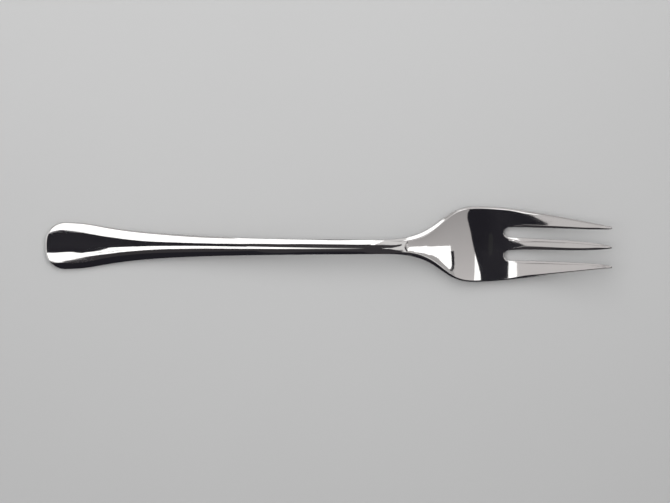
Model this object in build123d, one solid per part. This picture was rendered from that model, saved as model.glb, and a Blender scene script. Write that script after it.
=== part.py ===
from build123d import *

import os
from bisect import bisect_right
from math import cos, radians, sin, sqrt, tan

# Three-tined pastry fork, pressed from one stainless steel blank and polished all over.
# Millimetres. X runs along the fork from the handle to the tines, +Y is the left-hand tine's side as the
# user holds it, Z is up. The origin is on the table, under the middle of the fork's length.
# The blank is an extruded plan outline, and the fork is what is left of it between the two formed faces of
# the bent and crowned sheet. The one piece is then written out as its named regions, which meet face to face.

# Lengths along the fork, one region after the next
HANDLE_LENGTH = 90.0  # blunt end to the start of the neck
NECK_LENGTH = 24.0  # start of the flare to the widest part of the head
PALM_LENGTH = 7.8  # widest part of the head to the bottom of the slots
TINE_LENGTH = 28.2  # bottom of the slots to the points

# Widths in plan
HANDLE_WIDTH = 12.4
STEM_WIDTH = 3.7
HEAD_WIDTH = 20.0
MIDDLE_TINE_WIDTH = 3.35  # at its root
SLOT_WIDTH = 2.85
POINT_SPACING = 5.2  # from the middle tine's point to an outer tine's point

# Curves of the plan outline
HANDLE_END_RADIUS = 18.0  # the blunt end
HANDLE_CORNER_RADIUS = 5.0  # between the end and the sides
TAPER_HOLD = 14.5  # how far the handle's widest line carries on into the taper
TAPER_REACH = 81.0  # how far the stem's side line carries back into the taper
NECK_HOLD = 0.645 * NECK_LENGTH  # how far the stem's side line carries on into the flare
NECK_REACH = 0.417 * NECK_LENGTH  # how far the head's widest line carries back into the flare
HEAD_HOLD = 8.0  # how far the head's widest line carries on before the sides draw in
POINT_LENGTH = 8.0  # length over which the inner side of an outer tine curves to its point
POINT_RADIUS = 0.35  # the rounded end of each tine
POINT_ANGLE = 9.0  # between the sides of the points and the fork's axis, in degrees
INNER_POINT_ANGLE = 4.0  # the same for the inner side of an outer tine's point
ROOT_ANGLE = 3.5  # between each side of the middle tine and the fork's axis at its root, in degrees

# Side view: stations along the fork, and heights of the underside's centreline above the table
HANDLE_REST = 9.0  # where the handle touches the table, from the blunt end
STEM_MIDDLE = 60.0  # part-way up the arch, from the blunt end
CREST_SETBACK = 2.0  # top of the arch, back from the start of the neck
NECK_BEND = NECK_LENGTH / 6  # where the neck turns down, on from its start
HEAD_BEND = 0.73 * NECK_LENGTH  # where it turns level again, on from its start
HEEL_SETBACK = 4.8  # where the head touches the table, back from the bottom of the slots
HANDLE_LIFT = 0.15  # at the blunt end
STEM_RISE = 4.0
CREST_RISE = 5.2
NECK_RISE = 4.55  # where the neck turns down
HEAD_RISE = 1.15  # where it turns level again
POINT_RISE = 9.6
POINT_SLOPE = 0.4  # rise per millimetre at the points
HANDLE_THICKNESS = 2.5
STEM_THICKNESS = 2.8
NECK_THICKNESS = 2.75
HEAD_THICKNESS = 2.2
HEEL_THICKNESS = 1.8
POINT_THICKNESS = 1.0

# Cross-section: how far the edges lie below the middle of the top face, or above it where the face is hollow
HANDLE_CROWN = 1.2
STEM_CROWN = 0.8
CREST_CROWN = 0.72
NECK_CROWN = 0.12
HEAD_HOLLOW = 0.9
HEEL_HOLLOW = 1.15
POINT_HOLLOW = 0.25
HANDLE_BACK_CROWN = 0.3  # how far the edges of the underside lie above its middle
STEM_BACK_CROWN = 0.5

# Working allowances of the formed faces and the blank
SECTION_PITCH = 2.0  # spacing of the cross-sections
SECTION_STEPS = 3  # points from the centreline to each edge of a cross-section
SURFACE_TOLERANCE = 0.001
SHEET_MARGIN = 0.3  # how far the formed faces stand out beyond the outline
BLANK_MARGIN = 2.0  # how far the blank's walls stand out above and below the formed faces

# Stations along the fork, from the blunt end
NECK_START = HANDLE_LENGTH
HEAD_WIDEST = NECK_START + NECK_LENGTH
SLOT_BOTTOM = HEAD_WIDEST + PALM_LENGTH
TINE_ROOT = SLOT_BOTTOM + SLOT_WIDTH / 2
LENGTH = SLOT_BOTTOM + TINE_LENGTH
CREST = NECK_START - CREST_SETBACK
NECK_TURN = NECK_START + NECK_BEND
HEAD_TURN = NECK_START + HEAD_BEND
HEEL = SLOT_BOTTOM - HEEL_SETBACK


def smooth_curve(ys, start_slope=0.0, end_slope=0.0):
    """Cubic spline along the fork through one value at each main station, with continuous curvature."""
    xs = (0, HANDLE_REST, STEM_MIDDLE, CREST, NECK_TURN, HEAD_TURN, HEEL, LENGTH)
    gaps = [b - a for a, b in zip(xs, xs[1:])]
    rises = [(b - a) / gap for a, b, gap in zip(ys, ys[1:], gaps)]
    # The slopes at the inner points come from one forward and one backward sweep
    factors = [0.0]
    slopes = [start_slope]
    for i in range(1, len(gaps)):
        left, right = gaps[i - 1], gaps[i]
        pivot = 2 * (left + right) - right * factors[-1]
        factors.append(left / pivot)
        slopes.append((3 * (right * rises[i - 1] + left * rises[i]) - right * slopes[-1]) / pivot)
    slopes.append(end_slope)
    for i in reversed(range(1, len(gaps))):
        slopes[i] -= factors[i] * slopes[i + 1]

    def value(x):
        i = min(max(bisect_right(xs, x) - 1, 0), len(gaps) - 1)
        t = (x - xs[i]) / gaps[i]
        ease = t * t * (3 - 2 * t)
        bend = gaps[i] * t * (1 - t) * (slopes[i] * (1 - t) - slopes[i + 1] * t)
        return ys[i] + (ys[i + 1] - ys[i]) * ease + bend

    return value


def outline_sides():
    """The left side of the plan outline, from the handle's widest point to the outer tine's point."""
    corner_y = HANDLE_WIDTH / 2 - HANDLE_CORNER_RADIUS
    corner_reach = HANDLE_END_RADIUS - HANDLE_CORNER_RADIUS
    widest = Vector(HANDLE_END_RADIUS - sqrt(corner_reach**2 - corner_y**2), HANDLE_WIDTH / 2)
    stem = Vector(NECK_START, STEM_WIDTH / 2)
    head = Vector(HEAD_WIDEST, HEAD_WIDTH / 2)
    tip = point_side(POINT_SPACING, 1, POINT_ANGLE)
    taper = Bezier(widest, widest + Vector(TAPER_HOLD), stem - Vector(TAPER_REACH), stem)
    flare = Bezier(stem, stem + Vector(NECK_HOLD), head - Vector(NECK_REACH), head)
    run = (tip.X - head.X) / 2
    straight = tip + Vector(-run, run * tan(radians(POINT_ANGLE)))
    draw_in = Bezier(head, head + Vector(HEAD_HOLD), straight, tip)
    return taper, flare, draw_in


def point_side(y, side, angle):
    """Where a tine's side, at an angle to the axis, meets its rounded point; side is 1 left, -1 right."""
    centre = Vector(LENGTH - POINT_RADIUS, y)
    return centre + Vector(sin(radians(angle)), side * cos(radians(angle))) * POINT_RADIUS


def half_width(sides, x):
    """Half the outline's width at a station, with the handle taken at its full width up to its end."""
    side = next((s for s in sides if x <= (s @ 1).X), sides[-1])
    low, high = 0.0, 1.0
    for _ in range(40):
        middle = (low + high) / 2
        if (side @ middle).X < x:
            low = middle
        else:
            high = middle
    return (side @ low).Y


def handle_end(widest):
    """The left half of the blunt end: its arc from the centreline and the corner arc into the side."""
    corner = widest - Vector(0, HANDLE_CORNER_RADIUS)
    end_centre = Vector(HANDLE_END_RADIUS, 0)
    outward = (corner - end_centre).normalized()
    join = end_centre + outward * HANDLE_END_RADIUS
    halfway = (outward + Vector(0, 1)).normalized()
    end_arc = TangentArc((0, 0), join, tangent=(0, 1))
    corner_arc = ThreePointArc(join, corner + halfway * HANDLE_CORNER_RADIUS, widest)
    return [end_arc, corner_arc]


def slot_sides():
    """The left-hand gap between the tines, from the outer tine's point round to the fork's axis."""
    centre = Vector(TINE_ROOT, (MIDDLE_TINE_WIDTH + SLOT_WIDTH) / 2)
    radius = SLOT_WIDTH / 2
    outer_root = centre + Vector(0, radius)
    inner_root = centre - Vector(sin(radians(ROOT_ANGLE)), cos(radians(ROOT_ANGLE))) * radius
    outer_left = point_side(POINT_SPACING, 1, POINT_ANGLE)
    outer_right = point_side(POINT_SPACING, -1, INNER_POINT_ANGLE)
    middle_left = point_side(0, 1, POINT_ANGLE)
    bend_start = Vector(LENGTH - POINT_LENGTH, outer_root.Y)
    outer_point = ThreePointArc(outer_left, (LENGTH, POINT_SPACING), outer_right)
    bend_hold = Vector(POINT_LENGTH / 3)
    point_hold = bend_hold.rotate(Axis.Z, INNER_POINT_ANGLE)
    outer_bend = Bezier(outer_right, outer_right - point_hold, bend_start + bend_hold, bend_start)
    straight = Line(bend_start, outer_root)
    bottom = ThreePointArc(outer_root, centre - Vector(radius), inner_root)
    run = (middle_left.X - inner_root.X) / 3
    from_root = Vector(run, -run * tan(radians(ROOT_ANGLE)))
    to_point = Vector(run, -run * tan(radians(POINT_ANGLE)))
    ogive = Bezier(inner_root, inner_root + from_root, middle_left - to_point, middle_left)
    middle_point = TangentArc((LENGTH, 0), middle_left, tangent=(0, 1))
    return [outer_point, outer_bend, straight, bottom, ogive, middle_point]


def blank_face(sides):
    """The flat blank: both halves of the outline, with the two slots between the tines."""
    widest = sides[0] @ 0
    centreline = Line((LENGTH, 0), (0, 0))
    half = make_face([*handle_end(widest), *sides, *slot_sides(), centreline])
    return half + mirror(half, about=Plane.XZ)


def formed_faces(sides):
    """The top and the underside of the bent and crowned sheet, both a little wider than the blank."""
    lift_slope = -2 * HANDLE_LIFT / HANDLE_REST
    heights = (HANDLE_LIFT, 0, STEM_RISE, CREST_RISE, NECK_RISE, HEAD_RISE, 0, POINT_RISE)
    thicknesses = (
        HANDLE_THICKNESS,
        HANDLE_THICKNESS,
        STEM_THICKNESS,
        STEM_THICKNESS,
        NECK_THICKNESS,
        HEAD_THICKNESS,
        HEEL_THICKNESS,
        POINT_THICKNESS,
    )
    crowns = (
        HANDLE_CROWN,
        HANDLE_CROWN,
        STEM_CROWN,
        CREST_CROWN,
        NECK_CROWN,
        -HEAD_HOLLOW,
        -HEEL_HOLLOW,
        -POINT_HOLLOW,
    )
    back_crowns = (
        HANDLE_BACK_CROWN,
        HANDLE_BACK_CROWN,
        STEM_BACK_CROWN,
        STEM_BACK_CROWN,
        STEM_BACK_CROWN,
        HEAD_HOLLOW,
        HEEL_HOLLOW,
        POINT_HOLLOW,
    )
    underside = smooth_curve(heights, lift_slope, POINT_SLOPE)
    thickness = smooth_curve(thicknesses)
    crown = smooth_curve(crowns)
    back_crown = smooth_curve(back_crowns)

    def top_height(x, share):
        return underside(x) + thickness(x) - crown(x) * share**2

    def back_height(x, share):
        return underside(x) + back_crown(x) * share**2

    return sheet_face(sides, top_height), sheet_face(sides, back_height)


def sheet_face(sides, height):
    """A face through rows of points across the fork; height takes a station and a share of its half-width."""
    span = LENGTH + 2 * SHEET_MARGIN
    count = round(span / SECTION_PITCH)
    rows = []
    for i in range(count + 1):
        x = span * i / count - SHEET_MARGIN
        half = half_width(sides, x)
        reach = half + SHEET_MARGIN
        ys = [reach * k / SECTION_STEPS for k in range(-SECTION_STEPS, SECTION_STEPS + 1)]
        rows.append([Vector(x, y, height(x, y / half)) for y in ys])
    return Face.make_surface_from_array_of_points(rows, SURFACE_TOLERANCE, min_deg=3, max_deg=5)


def fork_solid():
    """The whole fork, standing on the table with its origin under mid-length."""
    sides = outline_sides()
    top, back = formed_faces(sides)
    depth = top.bounding_box().max.Z - back.bounding_box().min.Z + BLANK_MARGIN
    below_top = extrude(top, depth, dir=(0, 0, -1))
    above_back = extrude(back, depth, dir=(0, 0, 1))
    blank = extrude(Pos(Z=-BLANK_MARGIN) * blank_face(sides), depth + BLANK_MARGIN)
    solid = (blank & below_top & above_back).solid()
    return Pos(-LENGTH / 2, 0, -solid.bounding_box().min.Z) * solid


def regions(fork):
    """The fork's named regions, cut square across its length; past the slots each tine is one of its own."""
    pieces = {}
    rest = fork
    for name, station in (("handle", NECK_START), ("neck", HEAD_WIDEST), ("head", TINE_ROOT)):
        across = Plane.YZ.offset(station - LENGTH / 2)
        pieces[name] = split(rest, across, Keep.BOTTOM)
        rest = split(rest, across, Keep.TOP)
    tines = rest.solids().sort_by(Axis.Y)
    return pieces | dict(zip(("right_tine", "middle_tine", "left_tine"), tines))


def main():
    os.makedirs("parts", exist_ok=True)
    for name, region in regions(fork_solid()).items():
        export_step(region, f"parts/{name}.step")


main()
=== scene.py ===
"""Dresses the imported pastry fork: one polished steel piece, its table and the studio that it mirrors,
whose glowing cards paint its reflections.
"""
from math import ceil, cos, radians, sin, sqrt, tan

import bpy
import numpy as np
from mathutils import Matrix, Vector
from mathutils.geometry import delaunay_2d_cdt
from mathutils.kdtree import KDTree


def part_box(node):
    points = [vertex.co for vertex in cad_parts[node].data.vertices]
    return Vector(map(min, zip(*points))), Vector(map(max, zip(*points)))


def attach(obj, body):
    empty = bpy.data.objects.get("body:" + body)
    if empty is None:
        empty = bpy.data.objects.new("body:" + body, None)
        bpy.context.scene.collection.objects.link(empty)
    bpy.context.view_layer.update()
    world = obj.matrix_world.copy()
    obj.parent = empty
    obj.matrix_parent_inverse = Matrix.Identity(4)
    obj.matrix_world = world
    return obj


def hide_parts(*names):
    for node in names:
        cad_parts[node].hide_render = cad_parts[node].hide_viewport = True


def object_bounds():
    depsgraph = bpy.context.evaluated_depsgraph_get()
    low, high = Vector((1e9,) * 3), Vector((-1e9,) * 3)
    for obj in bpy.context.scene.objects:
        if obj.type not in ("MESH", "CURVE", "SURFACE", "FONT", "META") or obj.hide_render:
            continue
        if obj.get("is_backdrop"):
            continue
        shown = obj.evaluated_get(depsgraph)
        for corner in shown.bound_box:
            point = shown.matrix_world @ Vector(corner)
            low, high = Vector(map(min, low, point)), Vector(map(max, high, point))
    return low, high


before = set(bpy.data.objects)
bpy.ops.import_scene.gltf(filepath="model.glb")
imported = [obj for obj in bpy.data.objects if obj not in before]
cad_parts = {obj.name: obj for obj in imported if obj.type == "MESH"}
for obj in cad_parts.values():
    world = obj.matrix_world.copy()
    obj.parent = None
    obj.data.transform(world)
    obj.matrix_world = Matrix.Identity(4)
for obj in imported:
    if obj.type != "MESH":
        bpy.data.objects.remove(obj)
cad_low, cad_high = (Vector(corner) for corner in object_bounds())

# The fork's sizes are in millimetres, and places along it count from the handle's end, as in the CAD model
MM = 0.001


def station(node):
    """Where a CAD region ends, from the handle's end."""
    return (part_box(node)[1][0] - cad_low.x) / MM


def width(node):
    """How wide a CAD region is."""
    low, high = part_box(node)
    return (high[1] - low[1]) / MM


# Plan outline
LENGTH = (cad_high.x - cad_low.x) / MM
NECK_START = station("handle")
HEAD_WIDEST = station("neck")
TINE_ROOT = station("head")
NECK_LENGTH = HEAD_WIDEST - NECK_START
HANDLE_WIDTH = width("handle")
HEAD_WIDTH = width("neck")
STEM_WIDTH = 3.7
MIDDLE_TINE_WIDTH = 3.35
SLOT_WIDTH = 2.85
POINT_SPACING = 5.2
HANDLE_END_RADIUS = 18.0
HANDLE_CORNER_RADIUS = 5.0
TAPER_HOLD = 14.5
TAPER_REACH = 81.0
NECK_HOLD = 0.645 * NECK_LENGTH
NECK_REACH = 0.417 * NECK_LENGTH
HEAD_HOLD = 8.0
POINT_LENGTH = 8.0
POINT_RADIUS = 0.35
POINT_ANGLE = radians(9.0)
INNER_POINT_ANGLE = radians(4.0)
ROOT_ANGLE = radians(3.5)

# Side view and cross-section, with one value at each main station along the fork
HANDLE_REST = 9.0
STEM_MIDDLE = 60.0
CREST_SETBACK = 2.0
HEEL_SETBACK = 4.8
CREST = NECK_START - CREST_SETBACK
NECK_TURN = NECK_START + NECK_LENGTH / 6
HEAD_TURN = NECK_START + 0.73 * NECK_LENGTH
HEEL = TINE_ROOT - SLOT_WIDTH / 2 - HEEL_SETBACK
STATIONS = np.array((0, HANDLE_REST, STEM_MIDDLE, CREST, NECK_TURN, HEAD_TURN, HEEL, LENGTH))
UNDERSIDE = (0.15, 0, 4.0, 5.2, 4.55, 1.15, 0, 9.6)
POINT_SLOPE = 0.40
THICKNESS = (2.5, 2.5, 2.8, 2.8, 2.75, 2.2, 1.8, 1.0)
CROWN = (1.2, 1.2, 0.8, 0.72, 0.12, -0.9, -1.15, -0.25)
BACK_CROWN = (0.3, 0.3, 0.5, 0.5, 0.5, 0.9, 1.15, 0.25)

# Rounded rims: the radius at each main station, what the tines add to it, and the angle where the rim ends
RIM_RADIUS = (0.4, 0.9, 0.6, 0.45, 1.2, 0.65, 0.5, 0.25)
SLOT_RIM = 3.6
TINE_RIM = 0.9
RIM_FADE = 4.0
RIM_END = radians(40)
SLOT_RIM_END = radians(31)
RIM_LEAST = radians(10)
SHADING_LEAD = 2.5

# Mesh density
RIM_SPACING = 0.3
RIM_TURN = radians(7)
RIM_STEPS = 6
GRID = 0.5
SLOPE_STEP = 0.02
INSET_ROUNDS = 4
WIDTH_SAMPLES = 4000
INSIDE_ONLY = 1
JOIN_DISTANCE = 1e-6

# Camera, in metres, apart from the sensor, which Blender measures in millimetres
CAMERA_TARGET = Vector((1.84, -2.05, 0)) * MM
CAMERA_DISTANCE = 1.5
CAMERA_TILT = radians(7.5)
CAMERA_ROLL = radians(-0.31)
FIELD_WIDTH = 178.3 * MM
SENSOR_WIDTH = 36.0

# Steel finish: noise features per metre along each axis, heights in metres
STEEL_DARK = (0.775, 0.765, 0.755, 1)
STEEL_LIGHT = (0.815, 0.80, 0.785, 1)
STEEL_ROUGHNESS = 0.015
CLOUD_SCALE = (160, 260, 260)
CLOUD_DETAIL = 3
CLOUD_DULLING = 0.03
LINE_SCALE = (30, 2600, 2600)
LINE_DETAIL = 2
LINE_DULLING = 0.02
LINE_HEIGHT = 1.5e-6
WAVE_SCALE = (90, 160, 160)
WAVE_DETAIL = 0
WAVE_HEIGHT = 2e-5
RIM_DULLING = 0.06

# Table, with its finish in the same units
TABLE_SIZE = (6, 6)
TABLE_DARK = (0.605, 0.605, 0.605, 1)
TABLE_LIGHT = (0.635, 0.635, 0.635, 1)
TABLE_SHINE = 0.1
TABLE_ROUGHNESS = 0.65
TABLE_DULLING = 0.2
TABLE_CLOUD = (9, 9, 9)
TABLE_CLOUD_DETAIL = 2
TABLE_GRAIN = (1500, 1500, 1500)
GRAIN_DETAIL = 1
GRAIN_HEIGHT = 1e-5

# Where Blender's mix node keeps its two colours and the result
MIX_DARK = 6
MIX_LIGHT = 7
MIX_RESULT = 2

# Light: a lamp above, by its plan corners and height in millimetres, and even light all round
SOFTBOX_LOW = (-190, -20)
SOFTBOX_HIGH = (130, 580)
SOFTBOX_HEIGHT = 400
SOFTBOX_RADIANCE = 2.75
EVEN_LIGHT = (0.38, 0.38, 0.38, 1)

# What the steel mirrors of the world is a painted reflection apart from the even light: dimmer towards the
# front, by the direction's part along Y
DIM_FRONT = -0.6
DIM_BACK = 0.3
DIM_LEVEL = 0.55

# Light levels of the glowing cards and sheets that the steel mirrors: painted reflections, as none of them
# is a lamp
WHITE = (1.6, 1.6, 1.6)
DULL_WHITE = (0.9, 0.9, 0.9)
LIGHT_GREY = (0.74, 0.73, 0.73)
GREY = (0.60, 0.58, 0.58)
DARK_GREY = (0.42, 0.41, 0.41)
CHARCOAL = (0.042, 0.039, 0.043)
SOFT_BLACK = (0.025, 0.025, 0.027)
BLACK = (0.0165, 0.0158, 0.0205)

# Painted reflections: glowing cards above the fork, by their corners in plan in millimetres
HANDLE_FLAG = [
    (60, 200), (-40, 420), (-60, 490), (-67, 575), (-87, 665), (-99, 658), (-118, 556), (-132, 535),
    (-226, 545), (-340, 440), (-480, 435), (-480, -60), (-403, -60), (-317, -220), (-251, -310),
    (-215, -500), (-146, -580), (-115, -490), (-67, -530), (60, -300),
]
HANDLE_STRIP = [
    (60, 0), (-480, 0), (-480, -490), (-414, -490), (-389, -560), (-321, -725), (-233, -840), (-167, -812),
    (-136, -860), (-104, -1060), (-93, -1180), (-82, -1190), (-60, -1000), (60, -900),
]
HANDLE_LINE = [
    (-180, -645), (-243, -622), (-307, -522), (-320, -485), (-322, -510), (-279, -610), (-244, -660),
    (-180, -670),
]
HANDLE_SIDE = [(-1000, -60), (-1000, -9000), (330, -9000), (330, -60)]
TOP_PANEL = [(-480, -200), (330, -200), (330, 4200), (-480, 4200)]
STEM_FLAG = [
    (-44.5, -1), (-44.5, 10), (-56, 24), (-51, 32), (-46.5, 35.5), (-44.5, 40), (-32.8, 64), (-24.7, 98),
    (-14.7, 120), (-2.2, 118), (19, 72), (19, -22), (-1.1, -20), (-13.2, -16), (-24, -8),
]
STEM_STRIP = [(-44.5, 0), (19, 0), (19, -50), (-1.5, -50), (-24.4, -45), (-44.5, -34)]
STEM_SHADE = [(-60, -3.2), (-60, -310), (30, -310), (30, -3.2)]
STEM_SIDE = [(-44.5, -14), (20, -14), (20, -700), (-44.5, -700)]
TINE_CANOPY = [(18, -36), (44, -36), (44, 45), (18, 45)]
TINE_FLAG = [
    (36.2, 14), (36.2, -4), (25.5, -5.3), (32, -8.8), (36, -9.6), (36.6, -13.5), (28, -14), (23.6, -17.5),
    (23.8, -19), (27, -23.6), (33, -28), (33, -36), (44, -36), (44, 14),
]
TINE_STRIP = [(33, -2), (36.2, -2), (36.2, 14), (33, 14)]
TINE_PATCH = [(33.5, -13), (34.3, -13), (34.3, -9.3), (33.5, -9.3)]
HEAD_FLAG = [
    (10, 90), (10, -180), (141, -180), (153, -162), (158, -155), (157, -135), (150, -115), (139.5, -83),
    (131, -45), (121.5, -15), (108, 20), (92, 62), (88, 90),
]
HEAD_STREAK = [(44, -60), (50, -80), (62, -74), (64, -20), (60, 2), (48, -6)]
HEAD_STRIP = [(85, 90), (85, -16), (121, -16), (117, 50), (116, 90)]
NECK_PANEL = [
    (216, -42), (214, -10), (222, 16), (238, 40), (252, 51.5), (269, 58), (287, 48.5), (330, 48),
    (330, -42),
]
NECK_LOW = [(238, 40), (330, 45), (420, 100), (420, 260), (240, 260)]
NECK_FRAME = [
    (203, -20), (215.5, -20), (219.5, 3), (230, 29), (245, 49.5), (261, 58.5), (263, 62.5), (246, 57.5),
    (227, 46.5), (215, 28.5), (206, 2),
]
NECK_TIP = [
    (30.3, -2.6), (33.9, -2.8), (38, -3), (41, -3.4), (41, 0.4), (37.4, 0.1), (34.8, -0.55), (33.4, -1.3),
    (30.3, -2.5),
]
NECK_TIP_LOW = [
    (33, -1.5), (41, 0.45), (42.6, 0.35), (44.3, -0.2), (48.5, -0.9), (48.5, 6), (36, 6), (33, 0),
]
CREST_FLAG = [
    (11, 16.6), (21.8, 3.4), (24.8, 0.9), (28.6, -1.2), (29.5, -2), (28.6, -2.4), (25.4, -2.9),
    (22.4, -5.3), (18, -7.5), (24.7, -8.3), (29.5, -4.9), (31, -9), (36, -9), (36, -150), (11, -150),
]
CREST_WEDGE = [(17, -5), (21, -4), (21, -12), (17, -12)]
PINCH_PATCH = [
    (15.5, 24), (17, 14), (18.4, 10.7), (19.9, 5), (21, -4), (21, -16), (31.7, -16), (31.7, 160), (16, 160),
]
NECK_SHADE = [(33.5, 3), (33.5, 60), (17, 60), (19, 28), (25, 10)]
PINCH_TICK = [(29.2, -3.1), (30.25, -3.1), (30.25, -2.65), (29.2, -2.65)]

# Each card's name, corners, height above the table in millimetres and the light level that it paints in
# reflections
CARDS = (
    ("handle_flag", HANDLE_FLAG, 1500, BLACK),
    ("handle_strip", HANDLE_STRIP, 1500.5, WHITE),
    ("handle_line", HANDLE_LINE, 1499, DARK_GREY),
    ("handle_side", HANDLE_SIDE, 1502, CHARCOAL),
    ("top_panel", TOP_PANEL, 1501, WHITE),
    ("stem_flag", STEM_FLAG, 100, CHARCOAL),
    ("stem_strip", STEM_STRIP, 100.5, WHITE),
    ("stem_side", STEM_SIDE, 101, CHARCOAL),
    # stem_shade: a black card just above the table that only reflections see, painted shade where the stem
    # mirrors the table beside it
    ("stem_shade", STEM_SHADE, 0.3, BLACK),
    ("crest_flag", CREST_FLAG, 30, CHARCOAL),
    ("crest_wedge", CREST_WEDGE, 30.2, WHITE),
    ("pinch_patch", PINCH_PATCH, 30.4, LIGHT_GREY),
    ("neck_shade", NECK_SHADE, 30.3, DARK_GREY),
    ("pinch_tick", PINCH_TICK, 24.9, BLACK),
    ("neck_tip", NECK_TIP, 25, WHITE),
    ("neck_tip_low", NECK_TIP_LOW, 25.1, DARK_GREY),
    ("neck_panel", NECK_PANEL, 300, WHITE),
    ("neck_frame", NECK_FRAME, 299, BLACK),
    ("neck_low", NECK_LOW, 301, DARK_GREY),
    ("head_flag", HEAD_FLAG, 300, BLACK),
    # head_streak: a painted reflection, a faint lighter streak inside the head's dark reflection
    ("head_streak", HEAD_STREAK, 299.5, SOFT_BLACK),
    ("head_strip", HEAD_STRIP, 300.5, WHITE),
    ("tine_canopy", TINE_CANOPY, 61, GREY),
    ("tine_flag", TINE_FLAG, 60, BLACK),
    ("tine_strip", TINE_STRIP, 60, WHITE),
    ("tine_patch", TINE_PATCH, 59.9, WHITE),
)

# Cards that fade out along X: where the fade starts and ends in millimetres, and what is left of the light
FADES = {"stem_strip": (-34, 16)}
FADED = 0.02

# The sheets glow and only reflections see them: painted reflections, dark and light
# Upright sheets round the fork, in metres: name, middle, sides, direction they face and light level;
# a sheet that faces along Y gives its width first, and one that faces along X its height
ALONG_X = (1, 0, 0)
ALONG_Y = (0, 1, 0)
SHEETS = (
    ("front_flag", (0, -0.3, 0.18), (2, 0.36), ALONG_Y, BLACK),
    ("back_panel", (-0.485, 0.5, 0.1), (1.03, 0.2), ALONG_Y, DARK_GREY),
    ("stem_back", (-0.009, 0.04, 0.014), (0.042, 0.015), ALONG_Y, WHITE),
    ("neck_back", (0.0251, 0.0125, 0.011), (0.0069, 0.01), ALONG_Y, WHITE),
    ("slot_flag", (0.095, 0, 0.0225), (0.025, 0.03), ALONG_X, BLACK),
    ("end_panel", (-0.3, 0, 0.03), (0.06, 0.6), ALONG_X, DULL_WHITE),
)


def smooth_curve(values, start_slope=0.0, end_slope=0.0):
    """Cubic spline along the fork through one value at each main station, with continuous curvature."""
    values = np.array(values, float)
    gaps = np.diff(STATIONS)
    rises = np.diff(values) / gaps
    last = len(STATIONS) - 1
    system = np.eye(last + 1)
    wanted = np.zeros(last + 1)
    wanted[0], wanted[last] = start_slope, end_slope
    for i in range(1, last):
        left, right = gaps[i - 1], gaps[i]
        system[i, i - 1 : i + 2] = right, 2 * (left + right), left
        wanted[i] = 3 * (right * rises[i - 1] + left * rises[i])
    slopes = np.linalg.solve(system, wanted)

    def value(x):
        i = np.clip(np.searchsorted(STATIONS, x, "right") - 1, 0, last - 1)
        t = (x - STATIONS[i]) / gaps[i]
        ease = t * t * (3 - 2 * t)
        bend = gaps[i] * t * (1 - t) * (slopes[i] * (1 - t) - slopes[i + 1] * t)
        return values[i] + (values[i + 1] - values[i]) * ease + bend

    return value


def steps(length, turn):
    """How many pieces a length of outline is divided into."""
    return max(2, ceil(length / RIM_SPACING), ceil(turn / RIM_TURN))


def bezier(a, b, c, d, count=None):
    """Points and directions along a cubic Bezier curve."""
    a, b, c, d = (np.array(p, float) for p in (a, b, c, d))
    if count is None:
        count = steps(np.linalg.norm(d - a), 0)
    t = np.linspace(0, 1, count + 1)[:, None]
    points = a * (1 - t) ** 3 + 3 * b * t * (1 - t) ** 2 + 3 * c * t**2 * (1 - t) + d * t**3
    directions = (b - a) * (1 - t) ** 2 + 2 * (c - b) * t * (1 - t) + (d - c) * t**2
    return points, directions


def arc(centre, radius, start, end):
    """Points and directions along an arc between two angles, clockwise where the end is the smaller one."""
    angles = np.linspace(start, end, steps(radius * abs(end - start), abs(end - start)) + 1)
    outward = np.stack([np.cos(angles), np.sin(angles)], 1)
    turned = np.stack([-outward[:, 1], outward[:, 0]], 1) * np.sign(end - start)
    return np.array(centre) + radius * outward, turned


def point_side(y, side, angle):
    """Where a tine's side, at an angle to the axis, meets its rounded point; side is 1 left, -1 right."""
    return LENGTH - POINT_RADIUS + sin(angle) * POINT_RADIUS, y + side * cos(angle) * POINT_RADIUS


def side_curves(count=None):
    """The left side of the plan outline, from the handle's widest point to the outer tine's point."""
    reach = HANDLE_END_RADIUS - HANDLE_CORNER_RADIUS
    corner_y = HANDLE_WIDTH / 2 - HANDLE_CORNER_RADIUS
    widest = HANDLE_END_RADIUS - sqrt(reach**2 - corner_y**2)
    tip_x, tip_y = point_side(POINT_SPACING, 1, POINT_ANGLE)
    run = (tip_x - HEAD_WIDEST) / 2
    handle_y, stem_y, head_y = HANDLE_WIDTH / 2, STEM_WIDTH / 2, HEAD_WIDTH / 2
    taper = bezier(
        (widest, handle_y),
        (widest + TAPER_HOLD, handle_y),
        (NECK_START - TAPER_REACH, stem_y),
        (NECK_START, stem_y),
        count,
    )
    flare = bezier(
        (NECK_START, stem_y),
        (NECK_START + NECK_HOLD, stem_y),
        (HEAD_WIDEST - NECK_REACH, head_y),
        (HEAD_WIDEST, head_y),
        count,
    )
    draw_in = bezier(
        (HEAD_WIDEST, head_y),
        (HEAD_WIDEST + HEAD_HOLD, head_y),
        (tip_x - run, tip_y + run * tan(POINT_ANGLE)),
        (tip_x, tip_y),
        count,
    )
    return taper, flare, draw_in


def handle_end(widest):
    """The left half of the blunt end: its arc from the centreline, and the corner arc into the side."""
    corner = np.array((widest, HANDLE_WIDTH / 2 - HANDLE_CORNER_RADIUS))
    join_angle = np.pi - np.arctan2(corner[1], HANDLE_END_RADIUS - corner[0])
    end = arc((HANDLE_END_RADIUS, 0), HANDLE_END_RADIUS, np.pi, join_angle)
    rounded = arc(corner, HANDLE_CORNER_RADIUS, join_angle, np.pi / 2)
    return end, rounded


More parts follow.
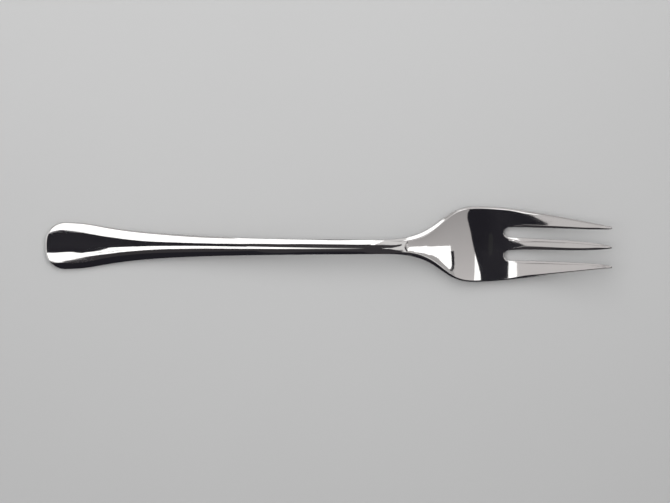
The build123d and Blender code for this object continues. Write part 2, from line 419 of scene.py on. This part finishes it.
def slot_curves():
    """The left-hand gap between the tines, from the outer tine's point round to the middle tine's point."""
    radius = SLOT_WIDTH / 2
    root_y = (MIDDLE_TINE_WIDTH + SLOT_WIDTH) / 2
    bend_start = (LENGTH - POINT_LENGTH, root_y + radius)
    outer_point = arc(
        (LENGTH - POINT_RADIUS, POINT_SPACING),
        POINT_RADIUS,
        np.pi / 2 - POINT_ANGLE,
        INNER_POINT_ANGLE - np.pi / 2,
    )
    inner_x, inner_y = point_side(POINT_SPACING, -1, INNER_POINT_ANGLE)
    hold = POINT_LENGTH / 3
    outer_bend = bezier(
        (inner_x, inner_y),
        (inner_x - hold * cos(INNER_POINT_ANGLE), inner_y - hold * sin(INNER_POINT_ANGLE)),
        (bend_start[0] + hold, bend_start[1]),
        bend_start,
    )
    straight_x = np.linspace(bend_start[0], TINE_ROOT, steps(bend_start[0] - TINE_ROOT, 0) + 1)
    straight_points = np.stack([straight_x, np.full_like(straight_x, bend_start[1])], 1)
    straight = straight_points, np.tile((-1.0, 0.0), (len(straight_x), 1))
    bottom = arc((TINE_ROOT, root_y), radius, np.pi / 2, 3 * np.pi / 2 - ROOT_ANGLE)
    root = bottom[0][-1]
    side = np.array(point_side(0, 1, POINT_ANGLE))
    run = (side[0] - root[0]) / 3
    ogive = bezier(
        root,
        root + (run, -run * tan(ROOT_ANGLE)),
        side - (run, -run * tan(POINT_ANGLE)),
        side,
    )
    middle_point = arc((LENGTH - POINT_RADIUS, 0), POINT_RADIUS, np.pi / 2 - POINT_ANGLE, 0)
    return outer_point, outer_bend, straight, bottom, ogive, middle_point


def outline():
    """Points, outward directions, rim radii and rim angles all round, counter-clockwise seen from above."""
    sides = side_curves()
    outer = [*handle_end(sides[0][0][0][0]), *sides]
    slots = slot_curves()
    curves = [*outer, *slots]
    points = np.concatenate([p[:-1] for p, _ in curves] + [curves[-1][0][-1:]])
    along = np.concatenate([d[:-1] for _, d in curves] + [curves[-1][1][-1:]])
    along /= np.linalg.norm(along, axis=1, keepdims=True)
    outward = np.stack([-along[:, 1], along[:, 0]], 1)
    radii = rim_radius(points[:, 0])
    outer_count = sum(len(p) - 1 for p, _ in outer)
    side, slot = slice(outer_count), slice(outer_count, None)
    before_point = np.clip((LENGTH - points[:, 0]) / RIM_FADE, 0, 1)
    on_tine = np.clip((points[:, 0] - TINE_ROOT) / RIM_FADE, 0, 1) * before_point
    radii[side] *= 1 + TINE_RIM * on_tine[side]
    radii[slot] *= 1 + SLOT_RIM * on_tine[slot]
    angles = np.full(len(points), RIM_END)
    angles[slot] += (SLOT_RIM_END - RIM_END) * before_point[slot]
    mirror = np.array((1, -1))
    points = np.concatenate([points, points[-2:0:-1] * mirror])
    outward = np.concatenate([outward, outward[-2:0:-1] * mirror])
    radii = np.concatenate([radii, radii[-2:0:-1]])
    angles = np.concatenate([angles, angles[-2:0:-1]])
    return points[::-1], outward[::-1], radii[::-1], angles[::-1]


side_points = np.concatenate([p for p, _ in side_curves(WIDTH_SAMPLES)])
underside = smooth_curve(UNDERSIDE, -2 * UNDERSIDE[0] / HANDLE_REST, POINT_SLOPE)
thickness = smooth_curve(THICKNESS)
crown = smooth_curve(CROWN)
back_crown = smooth_curve(BACK_CROWN)
rim_radius = smooth_curve(RIM_RADIUS)


def share(points):
    """How far points lie from the centreline, from 0 to 1 at the sides."""
    return points[:, 1] / np.interp(points[:, 0], side_points[:, 0], side_points[:, 1])


def top_height(points):
    x = points[:, 0]
    return underside(x) + thickness(x) - crown(x) * share(points) ** 2


def back_height(points):
    x = points[:, 0]
    return underside(x) + back_crown(x) * share(points) ** 2


def gradient(height, points):
    """Rise of a face per millimetre along X and Y."""
    slopes = []
    for step in ((SLOPE_STEP, 0), (0, SLOPE_STEP)):
        slopes.append((height(points + step) - height(points - np.array(step))) / (2 * SLOPE_STEP))
    return np.stack(slopes, 1)


def unit(vectors):
    return vectors / np.linalg.norm(vectors, axis=1, keepdims=True)


def face_normals(height, points, up):
    """Normals of a face; up is 1 for the top and -1 for the back."""
    return unit(np.column_stack([-up * gradient(height, points), np.full(len(points), up)]))


def inset(height, points, outward, radius, end, up):
    """Where a face starts to round off into the rim, and the face's lean there, as an angle."""
    ring = points - (radius * np.sin(end))[:, None] * outward
    for _ in range(INSET_ROUNDS):
        lean = -np.arctan(up * np.sum(gradient(height, ring) * outward, axis=1))
        lean = np.minimum(lean, end - RIM_LEAST)
        ring = points - (radius * (np.sin(end) - np.sin(lean)))[:, None] * outward
    return ring, lean


def rim_rows(height, points, outward, radius, end, up):
    """The ring where a face ends, and rows of places and normals that round it off into the wall."""
    ring, lean = inset(height, points, outward, radius, end, up)
    centre_z = height(ring) - up * radius * np.cos(lean)
    along = np.stack([-outward[:, 1], outward[:, 0]], 1)
    climb = np.sum(gradient(height, ring) * along, axis=1)
    level = np.zeros((len(points), 1))
    raised = up * unit(np.column_stack([-climb[:, None] * along, np.ones(len(points))]))
    sideways = np.column_stack([outward, level])
    on_face = face_normals(height, ring, up)
    start = np.arctan2(np.sum(on_face * sideways, axis=1), np.sum(on_face * raised, axis=1))
    rows = []
    for i in range(1, RIM_STEPS + 1):
        part = i / RIM_STEPS
        angle = lean + (end - lean) * part
        turned = start + (end - start) * min(1, SHADING_LEAD * part)
        plan = points - (radius * (np.sin(end) - np.sin(angle)))[:, None] * outward
        z = centre_z + up * radius * np.cos(angle)
        normals = np.cos(turned)[:, None] * raised + np.sin(turned)[:, None] * sideways
        rows.append((np.column_stack([plan, z]), normals))
    return ring, rows


def inside(points, ring):
    """Which points lie inside a closed ring."""
    a, b = ring, np.roll(ring, -1, axis=0)
    hits = np.zeros(len(points), int)
    for (ax, ay), (bx, by) in zip(a, b):
        if ay != by:
            crossing = (points[:, 1] >= min(ay, by)) & (points[:, 1] < max(ay, by))
            hits += crossing & (points[:, 0] < ax + (points[:, 1] - ay) * (bx - ax) / (by - ay))
    return hits % 2 == 1


def filling(ring):
    """Points on a grid inside a ring, none of them close to it."""
    half = HEAD_WIDTH / 2
    xs = np.arange(GRID / 2, LENGTH, GRID)
    ys = np.arange(-half + GRID / 2, half, GRID)
    grid = np.stack(np.meshgrid(xs, ys), -1).reshape(-1, 2)
    grid = grid[inside(grid, ring)]
    tree = KDTree(len(ring))
    for i, (x, y) in enumerate(ring):
        tree.insert((x, y, 0), i)
    tree.balance()
    far = [tree.find((x, y, 0))[2] > GRID / 2 for x, y in grid]
    return grid[far]


def covered(ring):
    """The ring and its filling as a triangulated sheet: points, with the ring's first, and triangles."""
    points = np.concatenate([ring, filling(ring)])
    count = len(ring)
    edges = [(i, (i + 1) % count) for i in range(count)]
    result = delaunay_2d_cdt([Vector(p) for p in points], edges, [], INSIDE_ONLY, JOIN_DISTANCE)
    source = [origins[0] for origins in result[3]]
    triangles = np.array([[source[v] for v in face] for face in result[2]])
    a, b, c = (points[triangles[:, k]] for k in range(3))
    area = (b[:, 0] - a[:, 0]) * (c[:, 1] - a[:, 1]) - (b[:, 1] - a[:, 1]) * (c[:, 0] - a[:, 0])
    triangles[area < 0] = triangles[area < 0][:, ::-1]
    return points, triangles


def fork_mesh():
    """The fork as one closed mesh: places, normals, faces, and how far each place lies down the rim."""
    points, outward, radius, end = outline()
    count = len(points)
    places, normals, faces, rims = [], [], [], []
    rings = []
    total = 0
    for height, up in ((top_height, 1), (back_height, -1)):
        ring, rows = rim_rows(height, points, outward, radius, end, up)
        sheet, triangles = covered(ring)
        places.append(np.column_stack([sheet, height(sheet)]))
        normals.append(face_normals(height, sheet, up))
        rims.append(np.zeros(len(sheet)))
        faces += (triangles[:, ::up] + total).tolist()
        loops = [total]
        total += len(sheet)
        for i, (row, leaning) in enumerate(rows):
            places.append(row)
            normals.append(leaning)
            rims.append(np.full(count, (i + 1) / RIM_STEPS))
            loops.append(total)
            total += count
        rings.append(loops)
    loops = rings[0] + rings[1][::-1]
    for upper, lower in zip(loops, loops[1:]):
        for i in range(count):
            j = (i + 1) % count
            faces.append((lower + i, lower + j, upper + j, upper + i))
    return np.concatenate(places), np.concatenate(normals), faces, np.concatenate(rims)


def make_fork():
    """The steel piece, in place of all the CAD regions."""
    places, normals, faces, rims = fork_mesh()
    mesh = bpy.data.meshes.new("fork")
    origin = np.array((cad_low.x, 0, cad_low.z))
    mesh.from_pydata((places * MM + origin).tolist(), [], faces)
    mesh.shade_smooth()
    mesh.normals_split_custom_set_from_vertices(normals.tolist())
    rim = mesh.attributes.new("rim", "FLOAT", "POINT")
    rim.data.foreach_set("value", rims)
    fork = bpy.data.objects.new("fork", mesh)
    bpy.context.scene.collection.objects.link(fork)
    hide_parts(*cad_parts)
    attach(fork, "root")
    return fork


def new_material(name, kind):
    """A material with one shader, joined to its output."""
    material = bpy.data.materials.new(name)
    material.use_nodes = True
    nodes, links = material.node_tree.nodes, material.node_tree.links
    nodes.clear()
    out = nodes.new("ShaderNodeOutputMaterial")
    shader = nodes.new(kind)
    links.new(shader.outputs[0], out.inputs[0])
    return material, nodes, links, shader


def steel():
    """Mirror-polished stainless steel: faint polishing lines along it, slight waves and duller rims."""
    material, nodes, links, shader = new_material("polished_steel", "ShaderNodeBsdfPrincipled")
    shader.inputs["Metallic"].default_value = 1.0
    place = nodes.new("ShaderNodeTexCoord")
    cloud = noise(nodes, links, place, CLOUD_SCALE, CLOUD_DETAIL)
    wave = noise(nodes, links, place, WAVE_SCALE, WAVE_DETAIL)
    lines = noise(nodes, links, place, LINE_SCALE, LINE_DETAIL)
    links.new(tone(nodes, links, cloud.outputs[0], STEEL_DARK, STEEL_LIGHT), shader.inputs["Base Color"])
    rim = nodes.new("ShaderNodeAttribute")
    rim.attribute_name = "rim"
    wear = added(nodes, links, rim.outputs["Fac"], RIM_DULLING, STEEL_ROUGHNESS)
    brushed = added(nodes, links, lines.outputs[0], LINE_DULLING, wear)
    dulled = added(nodes, links, cloud.outputs[0], CLOUD_DULLING, brushed)
    links.new(dulled, shader.inputs["Roughness"])
    waves = bump(nodes, links, wave.outputs[0], WAVE_HEIGHT)
    scratched = bump(nodes, links, lines.outputs[0], LINE_HEIGHT, waves)
    links.new(scratched, shader.inputs["Normal"])
    return material


def floor_paint():
    """Matt pale table top, with a fine grain and slight clouding."""
    material, nodes, links, shader = new_material("floor", "ShaderNodeBsdfPrincipled")
    shader.inputs["Specular IOR Level"].default_value = TABLE_SHINE
    place = nodes.new("ShaderNodeTexCoord")
    cloud = noise(nodes, links, place, TABLE_CLOUD, TABLE_CLOUD_DETAIL)
    grain = noise(nodes, links, place, TABLE_GRAIN, GRAIN_DETAIL)
    links.new(tone(nodes, links, cloud.outputs[0], TABLE_DARK, TABLE_LIGHT), shader.inputs["Base Color"])
    dulled = added(nodes, links, grain.outputs[0], TABLE_DULLING, TABLE_ROUGHNESS)
    links.new(dulled, shader.inputs["Roughness"])
    links.new(bump(nodes, links, grain.outputs[0], GRAIN_HEIGHT), shader.inputs["Normal"])
    return material


def glow(name, colour, fade=None):
    """An even glow, or one that fades out along X between two places in millimetres."""
    material, nodes, links, shader = new_material(name, "ShaderNodeEmission")
    shader.inputs["Color"].default_value = (*colour, 1)
    if fade:
        start, end = fade
        strength = ramp(nodes, links, ("Object", "X"), (start * MM, end * MM), (1.0, FADED))
        links.new(strength, shader.inputs["Strength"])
    return material


def tone(nodes, links, value, dark, light):
    """A colour that goes from dark to light with a value."""
    mix = nodes.new("ShaderNodeMix")
    mix.data_type = "RGBA"
    mix.inputs[MIX_DARK].default_value = dark
    mix.inputs[MIX_LIGHT].default_value = light
    links.new(value, mix.inputs[0])
    return mix.outputs[MIX_RESULT]


def ramp(nodes, links, axis, places, levels):
    """A level that changes evenly between two places along an axis, such as X of Object coordinates."""
    coordinates, letter = axis
    place = nodes.new("ShaderNodeTexCoord")
    axes = nodes.new("ShaderNodeSeparateXYZ")
    level = nodes.new("ShaderNodeMapRange")
    level.inputs["From Min"].default_value, level.inputs["From Max"].default_value = places
    level.inputs["To Min"].default_value, level.inputs["To Max"].default_value = levels
    links.new(place.outputs[coordinates], axes.inputs[0])
    links.new(axes.outputs[letter], level.inputs["Value"])
    return level.outputs[0]


def noise(nodes, links, place, scale, detail):
    """Noise with so many features per metre along each axis."""
    stretch = nodes.new("ShaderNodeMapping")
    stretch.inputs["Scale"].default_value = scale
    links.new(place.outputs["Object"], stretch.inputs[0])
    texture = nodes.new("ShaderNodeTexNoise")
    texture.inputs["Scale"].default_value = 1.0
    texture.inputs["Detail"].default_value = detail
    links.new(stretch.outputs[0], texture.inputs["Vector"])
    return texture


def added(nodes, links, value, amount, base):
    """A value times an amount, plus a base that is a number or another socket."""
    sums = nodes.new("ShaderNodeMath")
    sums.operation = "MULTIPLY_ADD"
    links.new(value, sums.inputs[0])
    sums.inputs[1].default_value = amount
    if isinstance(base, float):
        sums.inputs[2].default_value = base
    else:
        links.new(base, sums.inputs[2])
    return sums.outputs[0]


def bump(nodes, links, height, distance, normal=None):
    """A normal bent by a height, on top of another normal where one is given."""
    relief = nodes.new("ShaderNodeBump")
    relief.inputs["Distance"].default_value = distance
    links.new(height, relief.inputs["Height"])
    if normal:
        links.new(normal, relief.inputs["Normal"])
    return relief.outputs[0]


def plane(name, centre, size, normal=(0, 0, 1)):
    """A flat rectangle that faces along normal."""
    half_x, half_y = size[0] / 2, size[1] / 2
    corners = [(-half_x, -half_y, 0), (half_x, -half_y, 0), (half_x, half_y, 0), (-half_x, half_y, 0)]
    mesh = bpy.data.meshes.new(name)
    mesh.from_pydata(corners, [], [(0, 1, 2, 3)])
    sheet = bpy.data.objects.new(name, mesh)
    turn = Vector((0, 0, 1)).rotation_difference(Vector(normal)).to_matrix().to_4x4()
    sheet.matrix_world = Matrix.Translation(centre) @ turn
    bpy.context.scene.collection.objects.link(sheet)
    sheet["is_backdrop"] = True
    return sheet


def card(name, corners, height, colour, fade=None):
    """A flat glowing card above the fork, by its corners in plan in millimetres, that only reflections see:
    a painted reflection.
    """
    mesh = bpy.data.meshes.new(name)
    mesh.from_pydata([(x * MM, y * MM, height * MM) for x, y in corners], [], [range(len(corners))])
    sheet = bpy.data.objects.new(name, mesh)
    bpy.context.scene.collection.objects.link(sheet)
    mesh.materials.append(glow(name, colour, fade))
    hide_from_camera(sheet)
    sheet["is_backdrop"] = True


def hide_from_camera(sheet):
    """Leaves an object in reflections only."""
    sheet.visible_camera = False
    sheet.visible_diffuse = False
    sheet.visible_shadow = False


def softbox(name, low, high, height, radiance):
    """A rectangular lamp that faces down, between two plan corners in millimetres."""
    lamp = bpy.data.lights.new(name, "AREA")
    lamp.shape = "RECTANGLE"
    lamp.size, lamp.size_y = (high[0] - low[0]) * MM, (high[1] - low[1]) * MM
    lamp.energy = radiance * np.pi * lamp.size * lamp.size_y
    holder = bpy.data.objects.new(name, lamp)
    holder.location = (low[0] + high[0]) / 2 * MM, (low[1] + high[1]) / 2 * MM, height * MM
    holder.visible_glossy = False
    bpy.context.scene.collection.objects.link(holder)


def make_world():
    """Even light all round, neutral where it falls on the table; glossy rays see a painted reflection
    instead, a little warm and dimmer towards the front.
    """
    world = bpy.data.worlds.new("studio")
    world.use_nodes = True
    nodes, links = world.node_tree.nodes, world.node_tree.links
    nodes.clear()
    out = nodes.new("ShaderNodeOutputWorld")
    light = nodes.new("ShaderNodeBackground")
    light.inputs["Color"].default_value = EVEN_LIGHT
    # Painted reflection: only glossy rays see this grey, while the table is lit by the even light above
    mirrored = nodes.new("ShaderNodeBackground")
    mirrored.inputs["Color"].default_value = (*GREY, 1)
    strength = ramp(nodes, links, ("Generated", "Y"), (DIM_FRONT, DIM_BACK), (DIM_LEVEL, 1.0))
    links.new(strength, mirrored.inputs["Strength"])
    mix = nodes.new("ShaderNodeMixShader")
    path = nodes.new("ShaderNodeLightPath")
    links.new(path.outputs["Is Glossy Ray"], mix.inputs["Fac"])
    links.new(light.outputs[0], mix.inputs[1])
    links.new(mirrored.outputs[0], mix.inputs[2])
    links.new(mix.outputs[0], out.inputs["Surface"])
    bpy.context.scene.world = world


def make_studio():
    """The table, the light, and the glowing cards and sheets that the steel mirrors, which paint its
    reflections.
    """
    floor = plane("floor", (0, 0, 0), TABLE_SIZE)
    floor.data.materials.append(floor_paint())
    make_world()
    softbox("main_softbox", SOFTBOX_LOW, SOFTBOX_HIGH, SOFTBOX_HEIGHT, SOFTBOX_RADIANCE)
    for name, corners, height, colour in CARDS:
        card(name, corners, height, colour, FADES.get(name))
    for name, centre, size, normal, colour in SHEETS:
        sheet = plane(name, centre, size, normal)
        sheet.data.materials.append(glow(name, colour))
        hide_from_camera(sheet)


def make_camera():
    """The camera at the photograph's viewing angle."""
    lens = bpy.data.cameras.new("camera")
    lens.sensor_fit = "HORIZONTAL"
    lens.sensor_width = SENSOR_WIDTH
    lens.lens = SENSOR_WIDTH * CAMERA_DISTANCE / FIELD_WIDTH
    camera = bpy.data.objects.new("camera", lens)
    away = Vector((0, sin(CAMERA_TILT), cos(CAMERA_TILT)))
    turn = Matrix.Rotation(-CAMERA_TILT, 4, "X") @ Matrix.Rotation(CAMERA_ROLL, 4, "Z")
    camera.matrix_world = Matrix.Translation(CAMERA_TARGET + CAMERA_DISTANCE * away) @ turn
    bpy.context.scene.collection.objects.link(camera)
    bpy.context.scene.camera = camera


bpy.context.scene.view_settings.view_transform = "Standard"
fork = make_fork()
fork.data.materials.append(steel())
make_studio()
make_camera()
